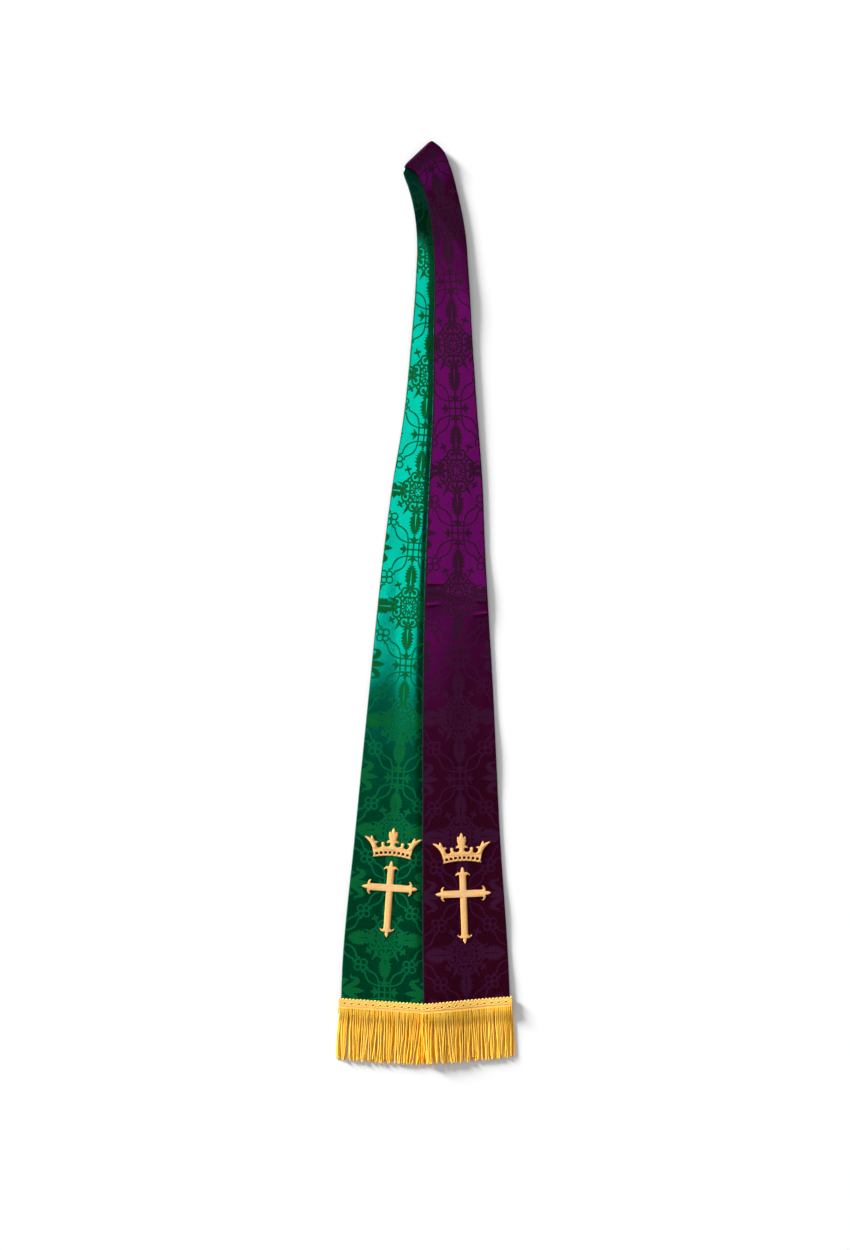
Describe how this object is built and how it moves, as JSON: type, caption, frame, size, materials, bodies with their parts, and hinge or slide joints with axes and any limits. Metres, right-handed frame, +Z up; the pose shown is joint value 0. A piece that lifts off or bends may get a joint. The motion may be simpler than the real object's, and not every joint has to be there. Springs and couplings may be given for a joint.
{
  "type": "clerical stole",
  "caption": "Reversible brocade clerical stole, folded in half at the neck and laid flat, with raised crown and cross embroidery and fringed ends.",
  "frame": {"origin": "under the middle of the laid stole, on the surface it rests on", "axes": "+Y along the stole towards the fold at the neck, +X to the right as it is looked at from above, +Z up from the surface"},
  "size_m": [0.256, 1.3516, 0.0101],
  "materials": {
    "purple_brocade": "satin brocade",
    "green_brocade": "satin brocade",
    "gold_fringe": "twisted rayon",
    "gold_thread": "satin stitch"
  },
  "bodies": {
    "root": {"purple_face_upper": "purple_brocade", "purple_face_lower": "purple_brocade", "green_face_upper": "green_brocade", "green_face_lower": "green_brocade", "fringe_upper": "gold_fringe", "fringe_lower": "gold_fringe", "crown_upper": "gold_thread", "cross_upper": "gold_thread", "crown_lower": "gold_thread", "cross_lower": "gold_thread"}
  },
  "joints": []
}
